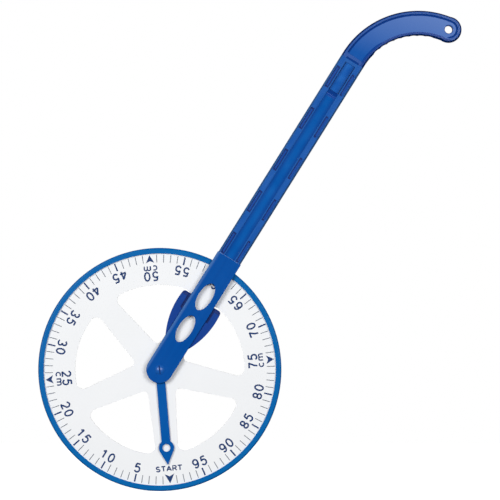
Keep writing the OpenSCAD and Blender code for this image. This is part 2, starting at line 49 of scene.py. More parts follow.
halfOn = 0.5  # a normal with this much y may slope

tyreLow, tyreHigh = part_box("tyre")
axle = (tyreLow + tyreHigh) / 2  # the wheel's centre, from the CAD
armLean = math.radians(32)  # the arm leans this far right of upright
armUp = Vector((math.sin(armLean), 0, math.cos(armLean)))
armSide = Vector((math.cos(armLean), 0, -math.sin(armLean)))
bendAt = 479.0 * mm  # how far up the arm the grip's bend starts
bendRadius = 99.25 * mm
bendCentre = axle + armUp * bendAt + armSide * bendRadius
print("frame loaded:", len(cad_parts), "nodes")


# selection and edit helpers

def pickOnly(*pieces):
    if bpy.context.mode != "OBJECT":
        bpy.ops.object.mode_set(mode="OBJECT")
    bpy.ops.object.select_all(action="DESELECT")
    for piece in pieces:
        piece.select_set(True)
    if pieces:
        bpy.context.view_layer.objects.active = pieces[0]


def editAll(piece):
    pickOnly(piece)
    bpy.ops.object.mode_set(mode="EDIT")
    bpy.ops.mesh.select_mode(type="VERT")
    bpy.ops.mesh.select_all(action="SELECT")


def leaveEdit():
    bpy.ops.object.mode_set(mode="OBJECT")


# goes into edit mode with only the points that pass the test
def selectPoints(piece, test):
    pickOnly(piece)
    bpy.context.tool_settings.mesh_select_mode = (True, False, False)
    for point in piece.data.vertices:
        point.select = test(point.co)
    for edge in piece.data.edges:
        edge.select = all(piece.data.vertices[i].select for i in edge.vertices)
    for face in piece.data.polygons:
        face.select = all(piece.data.vertices[i].select for i in face.vertices)
    bpy.ops.object.mode_set(mode="EDIT")


# how far a point lies across the arm and up it from the axle
def onArm(point):
    return (point - axle).dot(armSide), (point - axle).dot(armUp)


def copyNode(nodeName, pieceName, material):
    piece = bpy.data.objects.new(pieceName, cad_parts[nodeName].data.copy())
    bpy.context.scene.collection.objects.link(piece)
    piece.data.materials.clear()
    piece.data.materials.append(material)
    for face in piece.data.polygons:
        face.material_index = 0
    editAll(piece)
    bpy.ops.mesh.customdata_custom_splitnormals_clear()
    bpy.ops.mesh.remove_doubles(threshold=weld)
    bpy.ops.mesh.dissolve_limited(angle_limit=flatWithin)
    leaveEdit()
    return piece


# rounds the sharp edges whose middle passes the test in where
def softenEdges(piece, width, steps=2, sharp=40, where=None):
    editAll(piece)
    bpy.ops.mesh.select_all(action="DESELECT")
    bpy.ops.mesh.select_mode(type="EDGE")
    bpy.ops.mesh.edges_select_sharp(sharpness=math.radians(sharp))
    leaveEdit()
    if where:
        points = piece.data.vertices
        for edge in piece.data.edges:
            middle = (points[edge.vertices[0]].co + points[edge.vertices[1]].co) / 2
            edge.select = edge.select and where(middle)
    bpy.ops.object.mode_set(mode="EDIT")
    bpy.ops.mesh.bevel(offset=width, segments=steps, affect="EDGES", clamp_overlap=True)
    leaveEdit()


def applyModifier(piece, kind, **settings):
    pickOnly(piece)
    modifier = piece.modifiers.new(kind.lower(), kind)
    for name, value in settings.items():
        setattr(modifier, name, value)
    bpy.ops.object.modifier_apply(modifier=modifier.name)


def smoothFaces(piece, angle=35):
    pickOnly(piece)
    bpy.ops.object.shade_smooth_by_angle(angle=math.radians(angle))
    applyModifier(piece, "WEIGHTED_NORMAL", keep_sharp=True, weight=50)


# gives a further material to the faces of whose corners this share passes the test
def paintFaces(piece, material, test, share=0.7):
    piece.data.materials.append(material)
    last = len(piece.data.materials) - 1
    points = piece.data.vertices
    for face in piece.data.polygons:
        passed = sum(test(points[corner].co, face.normal) for corner in face.vertices)
        if passed >= share * len(face.vertices):
            face.material_index = last


# a block across the arm, on the front or the rear side
def armBlock(look, side, material):
    pickOnly()
    middle = axle + armUp * (look["low"] + look["high"]) / 2
    bpy.ops.mesh.primitive_cube_add(
        size=1, rotation=(0, armLean, 0),
        location=(middle.x, side * (look["floor"] + look["depth"] / 2), middle.z))
    block = bpy.context.object
    block.scale = (2 * look["reach"], look["depth"], look["high"] - look["low"])
    bpy.ops.object.transform_apply(location=True, rotation=True, scale=True)
    block.data.materials.append(material)
    return block


# cuts one piece out of another; the cut faces keep the cutter's material
def carve(piece, cutter):
    applyModifier(piece, "BOOLEAN", operation="DIFFERENCE", object=cutter, solver="EXACT",
                  material_mode="TRANSFER")
    bpy.data.objects.remove(cutter)


# joins up what the cuts left in slivers
def cleanCuts(piece):
    editAll(piece)
    bpy.ops.mesh.remove_doubles(threshold=weld)
    bpy.ops.mesh.dissolve_limited(angle_limit=flatWithin, delimit={"MATERIAL"})
    leaveEdit()


def finishPiece(piece, settings):
    smoothFaces(piece)
    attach(piece, settings["body"])
    if "node" in settings:
        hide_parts(settings["node"])


# a plain moulded part: the CAD solid with its edges rounded as a mould leaves them
def mouldedPart(settings, material, further=None, test=None):
    piece = copyNode(settings["node"], settings["name"], material)
    if "turn" in settings:  # turned round the axle, in degrees
        editAll(piece)
        bpy.ops.transform.rotate(value=math.radians(settings["turn"]), orient_axis="Y",
                                 center_override=axle)
        leaveEdit()
    softenEdges(piece, settings["edge"], settings["steps"])
    if further:
        paintFaces(piece, further, test)
    finishPiece(piece, settings)


# shader maths: a wire is a socket that can be added, taken away and multiplied; add makes any other node

class Wire:
    def __init__(self, tree, socket=None):
        self.tree = tree
        self.socket = socket

    def add(self, kind, settings=None, links=None, out=0):
        node = self.tree.nodes.new(kind)
        for name, value in (settings or {}).items():
            setattr(node, name, value)
        for name, value in (links or {}).items():
            if isinstance(value, Wire):
                self.tree.links.new(value.socket, node.inputs[name])
            else:
                node.inputs[name].default_value = value
        return Wire(self.tree, node.outputs[out])

    def calc(self, operation, first, second):
        return self.add("ShaderNodeMath", {"operation": operation}, {0: first, 1: second})

    def __add__(self, other):
        return self.calc("ADD", self, other)

    def __sub__(self, other):
        return self.calc("SUBTRACT", self, other)

    def __rsub__(self, other):
        return self.calc("SUBTRACT", other, self)

    def __mul__(self, other):
        return self.calc("MULTIPLY", self, other)

    __radd__ = __add__
    __rmul__ = __mul__

    def vector(self, operation, first, second, out=0):
        return self.add("ShaderNodeVectorMath", {"operation": operation}, {0: first, 1: second}, out)

    def clamped(self):
        return self.add("ShaderNodeClamp", None, {0: self})

    def between(self, low, high):  # 0 at low, 1 at high
        return ((self - low) * (1 / (high - low))).clamped()

    def mixed(self, first, second):
        return self.add("ShaderNodeMix", {"data_type": "RGBA"}, {0: self, 6: first, 7: second}, 2)

    def noise(self, vector, scale, detail=2.0):
        return self.add("ShaderNodeTexNoise", None, {"Vector": vector, "Scale": scale, "Detail": detail})

    def into(self, shader, name):
        self.tree.links.new(self.socket, shader.inputs[name])


def newMaterial(name, settings):
    material = bpy.data.materials.new(name)
    material.use_nodes = True
    shader = material.node_tree.nodes["Principled BSDF"]
    shader.inputs["Specular IOR Level"].default_value = settings.get("gloss", 0.5)
    shader.inputs["Metallic"].default_value = settings.get("metal", 0.0)
    wire = Wire(material.node_tree)
    return material, shader, wire, wire.add("ShaderNodeTexCoord", out="Object")


# what all the moulded plastics share
mould = {"cloudScale": 22.0, "flowScale": 260.0, "flowLength": 25, "grainScale": 1500.0,
         "cloudRough": 0.16, "grainRough": 0.12, "bumpDepth": 0.05 * mm, "flowBump": 0.5}


# moulded plastic: cloudy colour, faint flow lines along the arm and a fine spark grain; some also take a
# painted sheen or a painted shade by place
def mouldedPlastic(name, settings):
    material, shader, wire, place = newMaterial(name, settings)
    cloud = wire.noise(place, settings.get("cloudScale", mould["cloudScale"]), 3.0)
    along = wire.add("ShaderNodeMapping", {"vector_type": "TEXTURE"},
                     {"Vector": place, "Rotation": (0, armLean, 0), "Scale": (1, 1, mould["flowLength"])})
    flow = wire.noise(along, mould["flowScale"], 1.0)
    grain = wire.noise(place, mould["grainScale"])
    tint = cloud * (1 - settings["flow"]) + flow * settings["flow"]
    tint = (tint - 0.5) * settings["contrast"] + 0.5
    colour = tint.clamped().mixed(settings["deep"], settings["pale"])
    # a painted sheen: paler towards one end, along a given direction
    if "paintedSheen" in settings:
        apart = wire.vector("DOT_PRODUCT", place, settings["sheenAlong"], "Value")
        reach = apart.between(settings["sheenFrom"], settings["sheenTo"])
        colour = (reach * settings["sheenMost"]).mixed(colour, settings["paintedSheen"])
    # a second colour by place: painted shade on most plastics; on the left edge, the fading side of its
    # painted highlight
    if "shade" in settings:
        if "shadeRound" in settings:  # by the distance from a point, seen from the front
            flat = wire.vector("MULTIPLY", place, (1, 0, 1))
            away = wire.vector("DISTANCE", flat, settings["shadeRound"], "Value")
        else:  # by the distance from the arm's middle line
            across = wire.vector("DOT_PRODUCT", place, armSide, "Value")
            away = wire.calc("ABSOLUTE", across - axle.dot(armSide), 0)
        colour = away.between(settings["shadeFrom"], settings["shadeTo"]).mixed(colour, settings["shade"])
    colour.into(shader, "Base Color")
    meanRough = (mould["cloudRough"] + mould["grainRough"]) / 2
    rough = cloud * mould["cloudRough"] + grain * mould["grainRough"] + (settings["rough"] - meanRough)
    rough.into(shader, "Roughness")
    wire.add("ShaderNodeBump", None, {
        "Strength": settings["bump"], "Distance": mould["bumpDepth"],
        "Height": grain + flow * mould["flowBump"]}).into(shader, "Normal")
    return material


# plated steel with turning marks
def platedSteel(name, settings):
    material, shader, wire, place = newMaterial(name, settings)
    cloud = wire.noise(place, settings["cloudScale"], 3.0)
    marks = wire.noise(place, settings["markScale"])
    cloud.mixed(settings["deep"], settings["pale"]).into(shader, "Base Color")
    rough = cloud * settings["cloudRough"] + marks * settings["markRough"] + settings["rough"]
    rough.into(shader, "Roughness")
    wire.add("ShaderNodeBump", None, {
        "Strength": settings["bump"], "Distance": settings["bumpDepth"],
        "Height": marks}).into(shader, "Normal")
    return material


def rgb(red, green, blue):  # a colour as seen on screen, made linear
    return tuple((c / 255 / 12.92) if c < 10.3 else ((c / 255 + 0.055) / 1.055) ** 2.4
                 for c in (red, green, blue)) + (1.0,)


legPlastic = mouldedPlastic("legPlastic", {
    "deep": rgb(0, 69, 147), "pale": rgb(0, 81, 163), "flow": 0.5, "contrast": 1.3,
    "rough": 0.18, "bump": 0.03, "gloss": 0.15})
# painted highlight: a pale blue for the rounded top end of a leg
endHighlight = mouldedPlastic("endHighlight", {
    "deep": rgb(124, 164, 218), "pale": rgb(170, 198, 236), "flow": 0.4, "contrast": 1.6,
    "rough": 0.3, "bump": 0.05, "gloss": 0.3})
# painted highlight: a paler blue along a leg's left edge, fading into the leg's blue
edgeHighlight = mouldedPlastic("edgeHighlight", {
    "deep": rgb(42, 92, 158), "pale": rgb(58, 108, 172), "flow": 0.4, "contrast": 1.6,
    "rough": 0.28, "bump": 0.05, "gloss": 0.2,
    "shade": rgb(0, 75, 155), "shadeFrom": 15.4 * mm, "shadeTo": 14.0 * mm})
shaftPlastic = mouldedPlastic("shaftPlastic", {
    "deep": rgb(12, 76, 156), "pale": rgb(30, 94, 174), "flow": 0.4, "contrast": 1.6,
    "rough": 0.19, "bump": 0.03, "gloss": 0.25, "cloudScale": 30.0})
wallPlastic = mouldedPlastic("wallPlastic", {
    "deep": rgb(12, 74, 150), "pale": rgb(32, 94, 170), "flow": 0.4, "contrast": 1.6,
    "rough": 0.22, "bump": 0.03, "gloss": 0.15})
# painted shade: the channel floor darker near its walls
channelPlastic = mouldedPlastic("channelPlastic", {
    "deep": rgb(0, 75, 155), "pale": rgb(0, 91, 171), "flow": 0.35, "contrast": 2.0,
    "rough": 0.18, "bump": 0.03, "gloss": 0.15, "cloudScale": 34.0,
    "shade": rgb(6, 64, 140), "shadeFrom": 2.0 * mm, "shadeTo": 7.2 * mm})
# painted shade: the latch darker towards its sides
latchPlastic = mouldedPlastic("latchPlastic", {
    "deep": rgb(6, 72, 154), "pale": rgb(28, 102, 184), "flow": 0.2, "contrast": 2.4,
    "rough": 0.19, "bump": 0.03, "gloss": 0.15, "cloudScale": 48.0,
    "shade": rgb(14, 66, 136), "shadeFrom": 2.4 * mm, "shadeTo": 6.6 * mm})
# painted shade: the grip darker towards the fingers' side
gripPlastic = mouldedPlastic("gripPlastic", {
    "deep": rgb(28, 72, 148), "pale": rgb(44, 88, 162), "flow": 0.3, "contrast": 1.0,
    "rough": 0.2, "bump": 0.03, "gloss": 0.3,
    "shade": rgb(12, 58, 136), "shadeRound": bendCentre, "shadeFrom": 89 * mm, "shadeTo": 87 * mm})
# painted sheen: the grip's panel paler towards its upper end
panelPlastic = mouldedPlastic("panelPlastic", {
    "deep": rgb(9, 75, 156), "pale": rgb(21, 89, 168), "flow": 0.3, "contrast": 1.2,
    "rough": 0.26, "bump": 0.02, "gloss": 0.06,
    "paintedSheen": rgb(97, 127, 189), "sheenAlong": (0.316, 0, 0.949), "sheenFrom": 0.626, "sheenTo": 0.714,
    "sheenMost": 0.95})
# painted shade: a mid-dark blue for the scoop, the fin ends and the finger groove
fingerShade = mouldedPlastic("fingerShade", {
    "deep": rgb(14, 62, 142), "pale": rgb(24, 76, 158), "flow": 0.3, "contrast": 1.0,
    "rough": 0.24, "bump": 0.05, "gloss": 0.12})
# painted light: a paler blue for the lit sides of the shaft
flankLight = mouldedPlastic("flankLight", {
    "deep": rgb(62, 116, 182), "pale": rgb(80, 132, 198), "flow": 0.3, "contrast": 1.0,
    "rough": 0.3, "bump": 0.05, "gloss": 0.0})
# painted shade: a dark matt blue for side walls, grooves and the deep scoop
sideShade = mouldedPlastic("sideShade", {
    "deep": rgb(10, 50, 122), "pale": rgb(18, 64, 142), "flow": 0.3, "contrast": 1.0,
    "rough": 0.3, "bump": 0.05, "gloss": 0.0})
# painted shade: the darkest blue, for slot floors and hollows
recessShade = mouldedPlastic("recessShade", {
    "deep": rgb(4, 34, 98), "pale": rgb(10, 46, 116), "flow": 0.3, "contrast": 1.0,
    "rough": 0.35, "bump": 0.05, "gloss": 0.12})
clickerPlastic = mouldedPlastic("clickerPlastic", {
    "deep": rgb(10, 54, 132), "pale": rgb(20, 68, 150), "flow": 0.3, "contrast": 1.4,
    "rough": 0.19, "bump": 0.03, "gloss": 0.25})
tyrePlastic = mouldedPlastic("tyrePlastic", {
    "deep": rgb(0, 92, 162), "pale": rgb(4, 104, 174), "flow": 0.0, "contrast": 0.9,
    "rough": 0.26, "bump": 0.06, "gloss": 0.08, "cloudScale": 40.0})
pointerPlastic = mouldedPlastic("pointerPlastic", {
    "deep": rgb(0, 80, 158), "pale": rgb(0, 90, 170), "flow": 0.2, "contrast": 1.0,
    "rough": 0.19, "bump": 0.03, "gloss": 0.15})
axlePlastic = mouldedPlastic("axlePlastic", {
    "deep": rgb(0, 76, 158), "pale": rgb(10, 92, 176), "flow": 0.2, "contrast": 1.0,
    "rough": 0.33, "bump": 0.01, "gloss": 0.55})
discPlastic = mouldedPlastic("discPlastic", {
    "deep": rgb(233, 235, 237), "pale": rgb(240, 241, 243), "flow": 0.1, "contrast": 1.0,
    "rough": 0.42, "bump": 0.06, "gloss": 0.25, "cloudScale": 12.0})
bushPlastic = mouldedPlastic("bushPlastic", {
    "deep": rgb(222, 224, 226), "pale": rgb(236, 237, 239), "flow": 0.1, "contrast": 1.0,
    "rough": 0.42, "bump": 0.06, "gloss": 0.3})
scaleInk = mouldedPlastic("scaleInk", {
    "deep": rgb(12, 46, 98), "pale": rgb(22, 60, 114), "flow": 0.0, "contrast": 1.2,
    "rough": 0.5, "bump": 0.1, "gloss": 0.2, "cloudScale": 160.0})
fineInk = mouldedPlastic("fineInk", {
    "deep": rgb(80, 88, 102), "pale": rgb(98, 106, 120), "flow": 0.0, "contrast": 1.2,
    "rough": 0.5, "bump": 0.1, "gloss": 0.2, "cloudScale": 160.0})
fastenerSteel = platedSteel("fastenerSteel", {
    "deep": (0.42, 0.43, 0.45, 1), "pale": (0.62, 0.63, 0.65, 1), "rough": 0.24, "metal": 0.6,
    "cloudScale": 300.0, "markScale": 4000.0, "cloudRough": 0.2, "markRough": 0.15,
    "bump": 0.2, "bumpDepth": 0.02 * mm})
print("materials made")


# wheel

wheelDisc = {"name": "disc_moulding", "node": "wheel_disc", "body": "wheel", "slot": "disc_white",
             "edge": 0.3 * mm, "steps": 2}
mouldedPart(wheelDisc, discPlastic)
clickStud = {"name": "stud_moulding", "node": "click_stud", "body": "wheel", "slot": "disc_white",
             "edge": 0.15 * mm, "steps": 2}
mouldedPart(clickStud, discPlastic)
tyreRing = {"name": "tyre_ring", "node": "tyre", "body": "wheel", "slot": "tyre_blue",
            "edge": 0.3 * mm, "steps": 2}
mouldedPart(tyreRing, tyrePlastic)
hubBush = {"name": "bush_moulding", "node": "hub_bush", "body": "wheel", "slot": "bush_ivory",
           "edge": 0.2 * mm, "steps": 2}
mouldedPart(hubBush, bushPlastic)
print("wheel done")


# printed scale on the front of the disc

scalePrint = {
    "body": "wheel", "slot": "disc_white",
    "face": -1.5 * mm, "ink": 0.12 * mm, "sunk": 0.05 * mm,
    "startAngle": -84.75, "perCm": -3.6,
    "tickFrom": 140.0 * mm, "tickTo": 150.4 * mm, "fineWidth": 0.92 * mm, "boldWidth": 2.0 * mm,
    "startArrow": {"tip": 149.6 * mm, "length": 12.5 * mm, "width": 12.8 * mm, "notch": 3.2 * mm},
    "arrow": {"tip": 150.1 * mm, "length": 10.4 * mm, "width": 11.2 * mm, "notch": 2.6 * mm},
    "numeral": {"height": 12.6 * mm, "wide": 1.07, "pitch": 0.86, "pen": 2.2 * mm},
    "unit": {"height": 9.6 * mm, "wide": 1.3, "pitch": 0.93, "pen": 1.75 * mm},
    "start": {"height": 7.2 * mm, "wide": 1.27, "pitch": 1.0, "pen": 1.65 * mm},
    "numeralAt": 131.9 * mm, "quarterAt": 122.2 * mm, "unitAt": 133.0 * mm, "startAt": 130.1 * mm,
}


def scaleAngle(value):
    return math.radians(scalePrint["startAngle"] + scalePrint["perCm"] * value)


# a place on the disc: so far from the axle, towards a value of the scale
def onScale(radius, value, depth):
    angle = scaleAngle(value)
    return axle.x + radius * math.cos(angle), depth, axle.z + radius * math.sin(angle)


def inkTurn(value):  # lies on the disc with its foot outwards
    return math.pi / 2, -scaleAngle(value) - math.pi / 2, 0


# one round stroke of a numeral: centre, half width and half height, from one angle to another
def bow(x, y, wide, high, first, last):
    steps = max(4, round(abs(last - first) / 18))
    turns = [math.radians(first + (last - first) * i / steps) for i in range(steps + 1)]
    return [(x + wide * math.cos(turn), y + high * math.sin(turn)) for turn in turns]


# strokes of the numerals and letters, as a pen draws them, on a cap height of 1
strokes = {
    "0": [bow(0.31, 0.5, 0.24, 0.43, 0, 360)],
    "1": [[(0.13, 0.71), (0.26, 0.8), (0.35, 0.93)], [(0.35, 0.93), (0.35, 0.07)]],
    "2": [bow(0.31, 0.67, 0.23, 0.26, 168, -28) + [(0.08, 0.07)], [(0.06, 0.07), (0.57, 0.07)]],
    "3": [bow(0.3, 0.71, 0.2, 0.22, 155, -90), bow(0.3, 0.28, 0.24, 0.21, 90, -155)],
    "4": [[(0.45, 0.07), (0.45, 0.93)], [(0.45, 0.9), (0.06, 0.32)], [(0.04, 0.3), (0.62, 0.3)]],
    "5": [[(0.53, 0.93), (0.15, 0.93)], [(0.17, 0.93), (0.11, 0.5)], bow(0.3, 0.35, 0.24, 0.28, 125, -155)],
    "6": [bow(0.32, 0.34, 0.23, 0.27, 0, 360), bow(0.34, 0.44, 0.25, 0.49, 192, 48)],
    "7": [[(0.06, 0.93), (0.59, 0.93)], [(0.56, 0.93), (0.42, 0.68), (0.3, 0.4), (0.24, 0.07)]],
    "8": [bow(0.31, 0.71, 0.19, 0.22, 0, 360), bow(0.31, 0.28, 0.23, 0.21, 0, 360)],
    "9": [bow(0.31, 0.66, 0.23, 0.27, 0, 360), bow(0.29, 0.56, 0.25, 0.49, 12, -132)],
    "S": [bow(0.31, 0.71, 0.22, 0.22, 25, 262) + bow(0.31, 0.28, 0.25, 0.21, 82, -160)],
    "T": [[(0.02, 0.93), (0.6, 0.93)], [(0.31, 0.93), (0.31, 0.07)]],
    "A": [[(0.0, 0.07), (0.31, 0.93)], [(0.31, 0.93), (0.62, 0.07)], [(0.12, 0.36), (0.5, 0.36)]],
    "R": [[(0.08, 0.07), (0.08, 0.93), (0.36, 0.93)] + bow(0.36, 0.71, 0.2, 0.22, 80, -90)
          + [(0.08, 0.49)], [(0.34, 0.49), (0.6, 0.07)]],
    "c": [bow(0.3, 0.36, 0.22, 0.29, 48, 312)],
    "m": [[(0.04, 0.07), (0.04, 0.65)], bow(0.2, 0.43, 0.16, 0.22, 180, 0) + [(0.36, 0.07)],
          bow(0.52, 0.43, 0.16, 0.22, 180, 0) + [(0.68, 0.07)]],
}


# lettering stands with its foot outwards, as on the disc
def letter(words, look, radius, value):
    outline = bpy.data.curves.new(words, "CURVE")
    outline.dimensions = "3D"
    outline.bevel_depth = look["pen"] / 2
    outline.bevel_resolution = 1
    outline.use_fill_caps = True
    for place, sign in enumerate(words):
        for stroke in strokes[sign]:
            closed = math.dist(stroke[0], stroke[-1]) < 0.001  # a ring
            points = stroke[:-1] if closed else stroke
            line = outline.splines.new("POLY")
            line.use_cyclic_u = closed
            line.points.add(len(points) - 1)
            for point, (x, y) in zip(line.points, points):
                x = x * look["wide"] + place * look["pitch"]
                point.co = (x * look["height"], y * look["height"], 0, 1)
    piece = bpy.data.objects.new("lettering", outline)
    bpy.context.scene.collection.objects.link(piece)
    pickOnly(piece)
    bpy.ops.object.convert(target="MESH")
    piece = bpy.context.object
    bpy.ops.object.origin_set(type="ORIGIN_GEOMETRY", center="BOUNDS")
    piece.scale = (1, 1, scalePrint["ink"] / piece.dimensions.z)
    inkMiddle = scalePrint["face"] + scalePrint["sunk"] - scalePrint["ink"] / 2
    piece.location = onScale(radius, value, inkMiddle)
    piece.rotation_euler = inkTurn(value)
    bpy.ops.object.transform_apply(location=True, rotation=True, scale=True)
    return piece


# a flat plane on the disc between two radii, turned to the scale's value
def inkPlane(width, inner, outer, value):
    pickOnly()
    bpy.ops.mesh.primitive_plane_add(
        size=1, rotation=inkTurn(value),
        location=onScale((inner + outer) / 2, value, scalePrint["face"] + scalePrint["sunk"]))
    piece = bpy.context.object
    piece.scale = (width, outer - inner, 1)
    bpy.ops.object.transform_apply(location=True, rotation=True, scale=True)
    return piece


def thickenInk(piece):
    editAll(piece)
    bpy.ops.mesh.extrude_region_move(TRANSFORM_OT_translate={"value": (0, -scalePrint["ink"], 0)})
    bpy.ops.mesh.select_all(action="SELECT")
    bpy.ops.mesh.normals_make_consistent(inside=False)
    leaveEdit()


def inkBar(width, value):
    piece = inkPlane(width, scalePrint["tickFrom"], scalePrint["tickTo"], value)
    thickenInk(piece)
    return piece


# the arrowhead's tip is the plane's outer edge drawn together, its notch the inner edge pushed in
def inkArrow(look, value):
    tail = look["tip"] - look["length"]
    middle = tail + look["length"] / 2
    piece = inkPlane(look["width"], tail, look["tip"], value)
    selectPoints(piece, lambda point: (point - axle).length > middle)
    bpy.ops.mesh.merge(type="CENTER")
    leaveEdit()
    selectPoints(piece, lambda point: (point - axle).length < middle)
    bpy.ops.mesh.subdivide(number_cuts=1)
    leaveEdit()
    angle = scaleAngle(value)
    outward = Vector((math.cos(angle), 0, math.sin(angle)))
    sideways = Vector((-math.sin(angle), 0, math.cos(angle)))
    selectPoints(piece, lambda point: (point - axle).length < middle
                 and abs((point - axle).dot(sideways)) < look["width"] / 4)
    bpy.ops.transform.translate(value=outward * look["notch"])
    leaveEdit()
    thickenInk(piece)
    return piece


# copies of the piece turned round the axle, one for each value in cm to move on by
def copiesRound(piece, values):
    copies = []
    for value in values:
        copy = piece.copy()
        copy.data = piece.data.copy()
        bpy.context.scene.collection.objects.link(copy)
        turn = Matrix.Rotation(-math.radians(scalePrint["perCm"] * value), 4, "Y")
        copy.matrix_world = Matrix.Translation(axle) @ turn @ Matrix.Translation(-axle)
        copies.append(copy)
    pickOnly(*copies)
    bpy.ops.object.transform_apply(location=True, rotation=True, scale=True)
    return copies


def joinPieces(pieces, name, material):
    pickOnly(*pieces)
    bpy.ops.object.join()
    piece = bpy.context.object
    piece.name = name
    piece.data.name = name
    piece.data.materials.clear()
    piece.data.materials.append(material)
    editAll(piece)
    bpy.ops.mesh.remove_doubles(threshold=weld / 2)
    leaveEdit()
    bpy.ops.object.origin_set(type="ORIGIN_CURSOR")
    return piece


fineTick = inkBar(scalePrint["fineWidth"], 1)
fineTicks = [fineTick] + copiesRound(fineTick, [value - 1 for value in range(2, 100) if value % 5])
finishPiece(joinPieces(fineTicks, "scale_fine_ticks", fineInk), scalePrint)

boldTick = inkBar(scalePrint["boldWidth"], 5)
boldTicks = [boldTick] + copiesRound(boldTick, [value - 5 for value in range(10, 100, 5) if value % 25])
arrow = inkArrow(scalePrint["arrow"], 25)
arrows = [inkArrow(scalePrint["startArrow"], 0), arrow] + copiesRound(arrow, [25, 50])

lettering = [letter("START", scalePrint["start"], scalePrint["startAt"], 0)]
for value in range(5, 100, 5):
    radius = scalePrint["numeralAt"] if value % 25 else scalePrint["quarterAt"]
    lettering.append(letter(str(value), scalePrint["numeral"], radius, value))
    if value % 25 == 0:
        lettering.append(letter("cm", scalePrint["unit"], scalePrint["unitAt"], value))
finishPiece(joinPieces(boldTicks + arrows + lettering, "scale_bold_print", scaleInk), scalePrint)
print("scale printed:", len(lettering), "words")


# pointer and axle

pointerHand = {"name": "pointer_moulding", "node": "pointer", "body": "pointer", "slot": "pointer_blue",
               "edge": 0.35 * mm, "steps": 2}
mouldedPart(pointerHand, pointerPlastic)
for washer in ({"name": "washer_front", "node": "pointer_washer", "body": "handle",
                "slot": "washer_white", "edge": 0.08 * mm, "steps": 1},
               {"name": "spacer_rear", "node": "rear_spacer", "body": "handle",
                "slot": "washer_white", "edge": 0.15 * mm, "steps": 2}):
    mouldedPart(washer, bushPlastic)
axlePin = {"name": "axle_moulding", "node": "axle_pin", "body": "handle", "slot": "axle_blue",
           "edge": 0.2 * mm, "steps": 2, "turn": 28, "splitFloor": -12.9 * mm}


# the floor of the split in the axle's head is painted dark as shade
def isSplitFloor(point, normal):
    return normal.y < -faceOn and abs(point.y - axlePin["splitFloor"]) < loose


mouldedPart(axlePin, axlePlastic, recessShade, isSplitFloor)
pushNut = {"name": "push_nut", "node": "axle_push_nut", "body": "handle", "slot": "fastener_steel",
           "edge": 0.08 * mm, "steps": 1}
mouldedPart(pushNut, fastenerSteel)
print("pointer and axle done")


# legs: the outer edges are rounded, the oval windows more softly

legs = {"edge": 2.1 * mm, "endEdge": 1.1 * mm, "ovalEdge": 1.5 * mm, "ovalReach": 13 * mm,
        "ovalFrom": 40 * mm, "ovalTo": 150 * mm, "fine": 0.25 * mm, "face": 12.3 * mm, "end": 172 * mm,
        "highlightTo": 13.4 * mm, "highlightFacing": 0.7, "endHighlightFacing": 0.15, "endHighlightReach": 1.1}


def onLegFace(middle):
    return abs(middle.y) > legs["face"] - near


def inOval(middle):
    side, up = onArm(middle)
    return abs(side) < legs["ovalReach"] and legs["ovalFrom"] < up < legs["ovalTo"]


def isTopEnd(middle):
    return onArm(middle)[1] > legs["end"] - near


# the inner part of the left edge, painted paler as a highlight
def isWorn(point, normal):
    return (abs(normal.y) > legs["highlightFacing"] and onArm(point)[0] < hair - legs["highlightTo"]
            and abs(point.y) > legs["face"] - legs["edge"])


# the rounded edge of the top end, painted palest as a highlight
def isRubbed(point, normal):
    reach = legs["endEdge"] * legs["endHighlightReach"]
    return (min(abs(normal.y), normal.dot(armUp)) > legs["endHighlightFacing"]
            and abs(point.y) > legs["face"] - reach and onArm(point)[1] > legs["end"] - reach)


for leg in ({"name": "leg_front_moulding", "node": "front_leg", "body": "handle", "slot": "leg_blue"},
            {"name": "leg_rear_moulding", "node": "rear_leg", "body": "handle", "slot": "leg_blue"}):
    piece = copyNode(leg["node"], leg["name"], legPlastic)
    softenEdges(piece, legs["ovalEdge"], steps=4, where=lambda middle: onLegFace(middle) and inOval(middle))
    softenEdges(piece, legs["edge"], steps=4, where=lambda middle: (
        onLegFace(middle) and not inOval(middle) and not isTopEnd(middle)))
    softenEdges(piece, legs["endEdge"], steps=3, where=lambda middle: (
        onLegFace(middle) and isTopEnd(middle)))
    softenEdges(piece, legs["fine"], sharp=50)
    editAll(piece)
    bpy.ops.mesh.bisect(plane_co=axle - armSide * legs["highlightTo"], plane_no=armSide)
    leaveEdit()
    # the left edge takes a painted highlight
    paintFaces(piece, edgeHighlight, isWorn)
    # the top end's rounded edge takes a painted highlight
    paintFaces(piece, endHighlight, isRubbed)
    finishPiece(piece, leg)
print("legs done")


# clicker: two wings with a slot beside the leg and a sloping free end

clicker = {"name": "clicker_moulding", "node": "clicker", "body": "clicker", "slot": "clicker_blue",
           "face": -9.5 * mm, "slotFloor": -6.9 * mm, "slotFrom": 80 * mm,
           "endFrom": 100.8 * mm, "endTo": 106 * mm, "endDrop": 2.0 * mm, "edge": 0.3 * mm,
           "slotSlack": 0.2 * mm, "endSlack": 0.3 * mm}


def isSlotBottom(point, normal):
    return (normal.y < -halfOn and abs(point.y - clicker["slotFloor"]) < clicker["slotSlack"]
            and onArm(point)[1] > clicker["slotFrom"])


def isSlopingEnd(point, normal):
    return (normal.y < -halfOn and onArm(point)[1] > clicker["endFrom"] - hair
            and point.y < clicker["face"] + clicker["endDrop"] + clicker["endSlack"])


piece = copyNode(clicker["node"], clicker["name"], clickerPlastic)
editAll(piece)
bpy.ops.mesh.bisect(plane_co=axle + armUp * clicker["endFrom"], plane_no=armUp)
leaveEdit()
# past the cut the face slopes back to the free end
for point in piece.data.vertices:
    past = onArm(point.co)[1] - clicker["endFrom"]
    if point.co.y < clicker["face"] + near and past > 0:
        point.co.y += clicker["endDrop"] * past / (clicker["endTo"] - clicker["endFrom"])
softenEdges(piece, clicker["edge"])
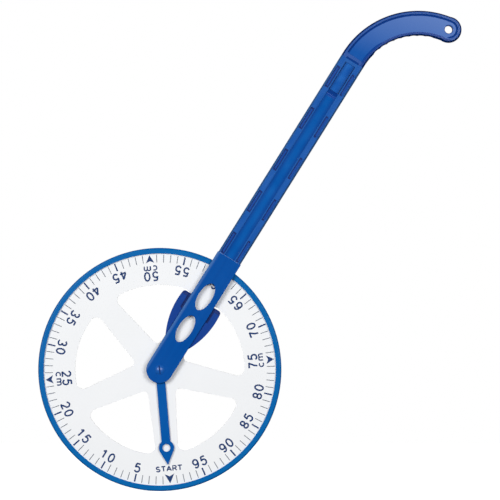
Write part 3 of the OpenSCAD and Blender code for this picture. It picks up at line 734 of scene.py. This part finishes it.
# the slot's bottom and the sloping free end are painted dark as shade
paintFaces(piece, recessShade, isSlotBottom)
paintFaces(piece, recessShade, isSlopingEnd)
finishPiece(piece, clicker)


# screws: flat heads with a cross recess, driven from the rear

screws = {"reach": 1.8 * mm, "bar": 0.75 * mm, "depth": 1.1 * mm, "edge": 0.12 * mm,
          "legFace": 14.2 * mm, "legSide": 8.0 * mm, "legUp": 167.6 * mm,
          "gripFace": 8.5 * mm, "gripTurns": (5, 42, 73)}


def screwSet(settings, heads):
    piece = copyNode(settings["node"], settings["name"], fastenerSteel)
    for head in heads:
        for turn in (0, math.pi / 2):
            pickOnly()
            bpy.ops.mesh.primitive_cube_add(size=1, location=head, rotation=(0, armLean + turn, 0))
            bar = bpy.context.object
            bar.scale = (2 * screws["reach"], 2 * screws["depth"], screws["bar"])
            bpy.ops.object.transform_apply(location=True, rotation=True, scale=True)
            bar.data.materials.append(fastenerSteel)
            carve(piece, bar)
    cleanCuts(piece)
    softenEdges(piece, screws["edge"])
    finishPiece(piece, settings)


legHead = axle + armUp * screws["legUp"] + Vector((0, screws["legFace"] - axle.y, 0))
screwSet({"name": "leg_screw_set", "node": "leg_screws", "body": "handle", "slot": "fastener_steel"},
         [legHead - armSide * screws["legSide"], legHead + armSide * screws["legSide"]])
print("clicker and screws done")


# shaft shells: the floors of the snap slots are painted dark as shade

shafts = {"edge": 0.35 * mm, "slotFloor": 9.3 * mm, "slotFrom": 8 * mm, "slotTo": 14.3 * mm,
          "channelFloor": 9.7 * mm, "channelReach": 7.4 * mm, "sideFrom": 14.4 * mm,
          "face": 10.5 * mm, "wallFrom": 7.3 * mm, "wallTo": 9.0 * mm, "rightDarkTo": 12.2 * mm,
          "scoopFrom": 419.5 * mm, "scoopDeep": 423.2 * mm, "scoopTo": 429 * mm,
          "finFacing": 0.3, "sideFacing": 0.6}
# a shallow groove across the joint of shaft and grip, its faces painted dark as shade
shadowGap = {"low": 474.6 * mm, "high": 477.0 * mm, "reach": 9.4 * mm, "floor": 9.45 * mm, "depth": 2 * mm}


def isSlotFloor(point, normal):
    side = onArm(point)[0]
    return (abs(normal.y) > faceOn and abs(abs(point.y) - shafts["slotFloor"]) < loose
            and shafts["slotFrom"] < abs(side) < shafts["slotTo"] and side < shafts["rightDarkTo"] + hair)


# the ends of the rear shell's snap fins, seen in the slots, painted darker as shade
def isFinEnd(point, normal):
    return normal.y < -shafts["finFacing"] and point.y < -shafts["slotFloor"]


# the thin wall between the channel and the slots
def isWallTop(point, normal):
    return (normal.y < -faceOn and point.y < loose - shafts["face"]
            and shafts["wallFrom"] < abs(onArm(point)[0]) < shafts["wallTo"] + hair)


# the finger scoop below the latch, painted in shade, darker towards the latch
def isScoop(point, normal):
    side, up = onArm(point)
    return (normal.y < -halfOn and abs(side) < shafts["wallFrom"]
            and shafts["scoopFrom"] < up < shafts["scoopTo"] and point.y > -near - shafts["channelFloor"])


def isDeepScoop(point, normal):
    return isScoop(point, normal) and onArm(point)[1] > shafts["scoopDeep"]


def isChannelFloor(point, normal):
    return (normal.y < -faceOn and abs(point.y + shafts["channelFloor"]) < loose
            and abs(onArm(point)[0]) < shafts["channelReach"])


def isShaftSide(point, normal):
    return abs(normal.y) < shafts["sideFacing"] and abs(onArm(point)[0]) > shafts["sideFrom"]


for shaft in ({"name": "shaft_front_moulding", "node": "shaft_front_shell", "body": "handle",
               "slot": "shaft_blue"},
              {"name": "shaft_rear_moulding", "node": "shaft_rear_shell", "body": "handle",
               "slot": "shaft_blue"}):
    piece = copyNode(shaft["node"], shaft["name"], shaftPlastic)
    if shaft["node"] == "shaft_front_shell":
        # the groove across the joint is painted dark as shade
        carve(piece, armBlock(shadowGap, -1, sideShade))
        cleanCuts(piece)
    for reach in (shafts["wallTo"], -shafts["wallTo"], shafts["rightDarkTo"]):
        editAll(piece)
        bpy.ops.mesh.bisect(plane_co=axle + armSide * reach, plane_no=armSide)
        leaveEdit()
    softenEdges(piece, shafts["edge"])
    # the slot floors are painted dark as shade
    paintFaces(piece, recessShade, isSlotFloor)
    paintFaces(piece, channelPlastic, isChannelFloor)
    paintFaces(piece, wallPlastic, isWallTop)
    # the finger scoop is painted in shade, darkest towards the latch
    paintFaces(piece, fingerShade, isScoop)
    paintFaces(piece, sideShade, isDeepScoop)
    # the shaft's sides are painted paler as light falls on them
    paintFaces(piece, flankLight, isShaftSide)
    if shaft["node"] == "shaft_rear_shell":
        paintFaces(piece, fingerShade, isFinEnd)
    finishPiece(piece, shaft)

latch = {"name": "latch_moulding", "node": "latch_tongue", "body": "latch", "slot": "latch_blue",
         "edge": 0.5 * mm, "steps": 3}
mouldedPart(latch, latchPlastic)
plug = {"name": "plug_moulding", "node": "joint_plug", "body": "handle", "slot": "plug_blue",
        "edge": 0.3 * mm, "steps": 2}
mouldedPart(plug, shaftPlastic)
print("shaft and latch done")


# grip shells: a rounded border, and a groove round the panel

grips = {"border": 0.5 * mm, "outerEdge": 1.7 * mm, "fine": 0.25 * mm,
         "face": 10.5 * mm, "panel": 9.3 * mm, "panelFacing": 0.95,
         "sideFrom": 14.0 * mm, "sideFacing": 0.97, "sweep": 81.6,
         "lowEnd": 475.4 * mm, "seam": 0.4 * mm, "holeEdge": 1.0 * mm, "holeReach": 6.5 * mm}
grooves = {"outer": 10.7 * mm, "finger": 11.3 * mm, "footTurn": 1.7, "fingerTo": 122.0,
           "radius": 1.5 * mm, "depth": 9.9 * mm, "bendSteps": 48, "endSteps": 32, "fingerSteps": 16,
           "tipRadius": 0.4, "tipGrowth": 0.12}
bendFrom = 180 - math.degrees(armLean)  # where the bend starts, seen from its centre
bendTo = bendFrom - grips["sweep"]


def aroundPoint(centre, radius, angle):
    return centre + Vector((math.cos(math.radians(angle)), 0, math.sin(math.radians(angle)))) * radius


hangHole = aroundPoint(bendCentre, bendRadius, bendTo)


# how far a point lies from the grip's middle line
def onGrip(point):
    flat = Vector((point.x, 0, point.z))
    angle = math.degrees(math.atan2(flat.z - bendCentre.z, flat.x - bendCentre.x))
    if onArm(point)[1] < bendAt:
        return onArm(point)[0]
    if angle < bendTo:
        return -(flat - Vector((hangHole.x, 0, hangHole.z))).length
    return bendRadius - (flat - Vector((bendCentre.x, 0, bendCentre.z))).length


# points along an arc round the bend's centre, from the grip's foot
def footArc(radius, last, steps):
    first = bendFrom - grooves["footTurn"]
    return [aroundPoint(bendCentre, radius, first + (last - first) * i / steps) for i in range(steps + 1)]


# the groove inside the outer border runs from the foot round the end and dies out below the hole
def outerGroove():
    reach = grooves["outer"]
    steps = grooves["endSteps"]
    roundEnd = [aroundPoint(hangHole, reach, bendTo - 180 * i / steps) for i in range(1, steps - 1)]
    return footArc(bendRadius + reach, bendTo, grooves["bendSteps"]) + roundEnd


# the groove on the fingers' side only leads up from the foot
def fingerGroove():
    return footArc(bendRadius - grooves["finger"], grooves["fingerTo"], grooves["fingerSteps"])


# a tube along the route, thin at its far end, which cuts the groove
def grooveCutter(route, side, material):
    line = bpy.data.curves.new("groove", "CURVE")
    line.dimensions = "3D"
    line.bevel_depth = grooves["radius"]
    line.bevel_resolution = 2
    line.use_fill_caps = True
    path = line.splines.new("POLY")
    path.points.add(len(route) - 1)
    for i, (point, place) in enumerate(zip(path.points, route)):
        point.co = (place.x, place.z, 0, 1)
        point.radius = min(1, grooves["tipRadius"] + grooves["tipGrowth"] * (len(route) - 1 - i))
    cutter = bpy.data.objects.new("groove", line)
    bpy.context.scene.collection.objects.link(cutter)
    pickOnly(cutter)
    bpy.ops.object.convert(target="MESH")
    cutter = bpy.context.object
    cutter.rotation_euler = (math.pi / 2, 0, 0)
    cutter.location = (0, side * grooves["depth"], 0)
    bpy.ops.object.transform_apply(location=True, rotation=True, scale=True)
    cutter.data.materials.append(material)
    editAll(cutter)
    bpy.ops.mesh.remove_doubles(threshold=weld / 2)
    bpy.ops.mesh.normals_make_consistent(inside=False)
    leaveEdit()
    return cutter


def onOuterEdge(middle):
    return abs(middle.y) > grips["face"] - near and abs(onGrip(middle)) > grips["sideFrom"]


def onBorder(middle):
    return abs(middle.y) > grips["face"] - near and abs(onGrip(middle)) < grips["sideFrom"]


def onHoleEdge(middle):
    flat = Vector((middle.x - hangHole.x, 0, middle.z - hangHole.z))
    return abs(middle.y) > grips["panel"] - near and flat.length < grips["holeReach"]


def isSideWall(point, normal):
    return abs(normal.y) < grips["sideFacing"] and abs(onGrip(point)) > grips["sideFrom"]


def isPanel(point, normal):
    return abs(normal.y) > grips["panelFacing"] and abs(abs(point.y) - grips["panel"]) < near


for grip in ({"name": "grip_front_moulding", "node": "grip_front_shell", "body": "handle",
              "slot": "grip_blue", "side": -1},
             {"name": "grip_rear_moulding", "node": "grip_rear_shell", "body": "handle",
              "slot": "grip_blue", "side": 1}):
    piece = copyNode(grip["node"], grip["name"], gripPlastic)
    selectPoints(piece, lambda point: abs(onArm(point)[1] - grips["lowEnd"]) < near)
    bpy.ops.transform.translate(value=-armUp * grips["seam"])  # the low end comes down onto the shaft
    leaveEdit()
    # the outer groove is painted dark as shade
    carve(piece, grooveCutter(outerGroove(), grip["side"], sideShade))
    # the finger groove is painted a lighter shade
    carve(piece, grooveCutter(fingerGroove(), grip["side"], fingerShade))
    if grip["side"] < 0:
        carve(piece, armBlock(shadowGap, -1, sideShade))
    cleanCuts(piece)
    softenEdges(piece, grips["outerEdge"], steps=3, where=onOuterEdge)
    softenEdges(piece, grips["border"], where=onBorder)
    softenEdges(piece, grips["holeEdge"], steps=3, where=onHoleEdge)
    softenEdges(piece, grips["fine"], sharp=60, where=lambda middle: onArm(middle)[1] > bendAt)
    # the panel takes the painted sheen
    paintFaces(piece, panelPlastic, isPanel)
    # the grip's side walls are painted dark as shade
    paintFaces(piece, sideShade, isSideWall)
    finishPiece(piece, grip)

gripHeads = [aroundPoint(bendCentre, bendRadius, bendFrom - turn) for turn in screws["gripTurns"]]
screwSet({"name": "grip_screw_set", "node": "grip_screws", "body": "handle", "slot": "fastener_steel"},
         [Vector((head.x, screws["gripFace"], head.z)) for head in gripHeads])
print("grip done")


# floor, lights and camera

studio = {
    "floorSize": 2.4, "floorAt": (0.1, 0, 0), "floorGlow": 0.8, "floorRough": 0.9, "floorCloud": 6.0,
    "floorDeep": (0.88, 0.88, 0.88, 1), "floorPale": (0.92, 0.92, 0.92, 1), "surround": 0.1,
    "keyLeft": {"place": (-1.25, -3.2, 0.9), "size": 1.4, "power": 76, "shine": True},
    "keyRight": {"place": (1.4, -3.2, 0.8), "size": 1.4, "power": 58, "shine": True},
    "back": {"place": (0.1, 3.4, 0.3), "size": 1.2, "power": 110, "shine": False},
    "target": (0.1, 0, 0.3),
    "camera": (0.118, -5.0, 0.3155), "frameWidth": 0.6545, "sensor": 36, "farthest": 50,
}

pickOnly()
bpy.ops.mesh.primitive_plane_add(size=studio["floorSize"], location=studio["floorAt"])
floor = bpy.context.object
floor.name = "floor"
bpy.ops.object.transform_apply(location=True, rotation=True, scale=True)
floor.visible_diffuse = False  # the glow of the floor lights nothing
floor.visible_glossy = False
floorFinish, floorShader, floorWire, floorPlace = newMaterial("floorFinish", {"gloss": 0.1})
floorCloud = floorWire.noise(floorPlace, studio["floorCloud"])
floorCloud.mixed(studio["floorDeep"], studio["floorPale"]).into(floorShader, "Base Color")
floorShader.inputs["Roughness"].default_value = studio["floorRough"]
floorShader.inputs["Emission Color"].default_value = (1, 1, 1, 1)
floorShader.inputs["Emission Strength"].default_value = studio["floorGlow"]
floor.data.materials.append(floorFinish)


def softbox(name):
    settings = studio[name]
    light = bpy.data.lights.new(name, "AREA")
    light.shape = "SQUARE"
    light.size = settings["size"]
    light.energy = settings["power"]
    lamp = bpy.data.objects.new(name, light)
    bpy.context.scene.collection.objects.link(lamp)
    lamp.location = settings["place"]
    lamp.rotation_euler = (Vector(studio["target"]) - lamp.location).to_track_quat("-Z", "Y").to_euler()
    lamp.visible_glossy = settings["shine"]


for name in ("keyLeft", "keyRight", "back"):
    softbox(name)

world = bpy.data.worlds.new("studio")
bpy.context.scene.world = world
world.use_nodes = True
ambient = Wire(world.node_tree)
seen = ambient.add("ShaderNodeLightPath", out="Is Camera Ray")
level = seen * (1 - studio["surround"]) + studio["surround"]
level.into(world.node_tree.nodes["Background"], "Strength")
world.node_tree.nodes["Background"].inputs["Color"].default_value = (1, 1, 1, 1)

lens = bpy.data.cameras.new("camera")
lens.sensor_width = studio["sensor"]
lens.lens = lens.sensor_width * -studio["camera"][1] / studio["frameWidth"]
lens.clip_end = studio["farthest"]
camera = bpy.data.objects.new("camera", lens)
bpy.context.scene.collection.objects.link(camera)
camera.location = studio["camera"]
camera.rotation_euler = (math.pi / 2, 0, 0)
bpy.context.scene.camera = camera
bpy.context.scene.view_settings.view_transform = "Standard"  # colours come out as they are set
print("studio ready")
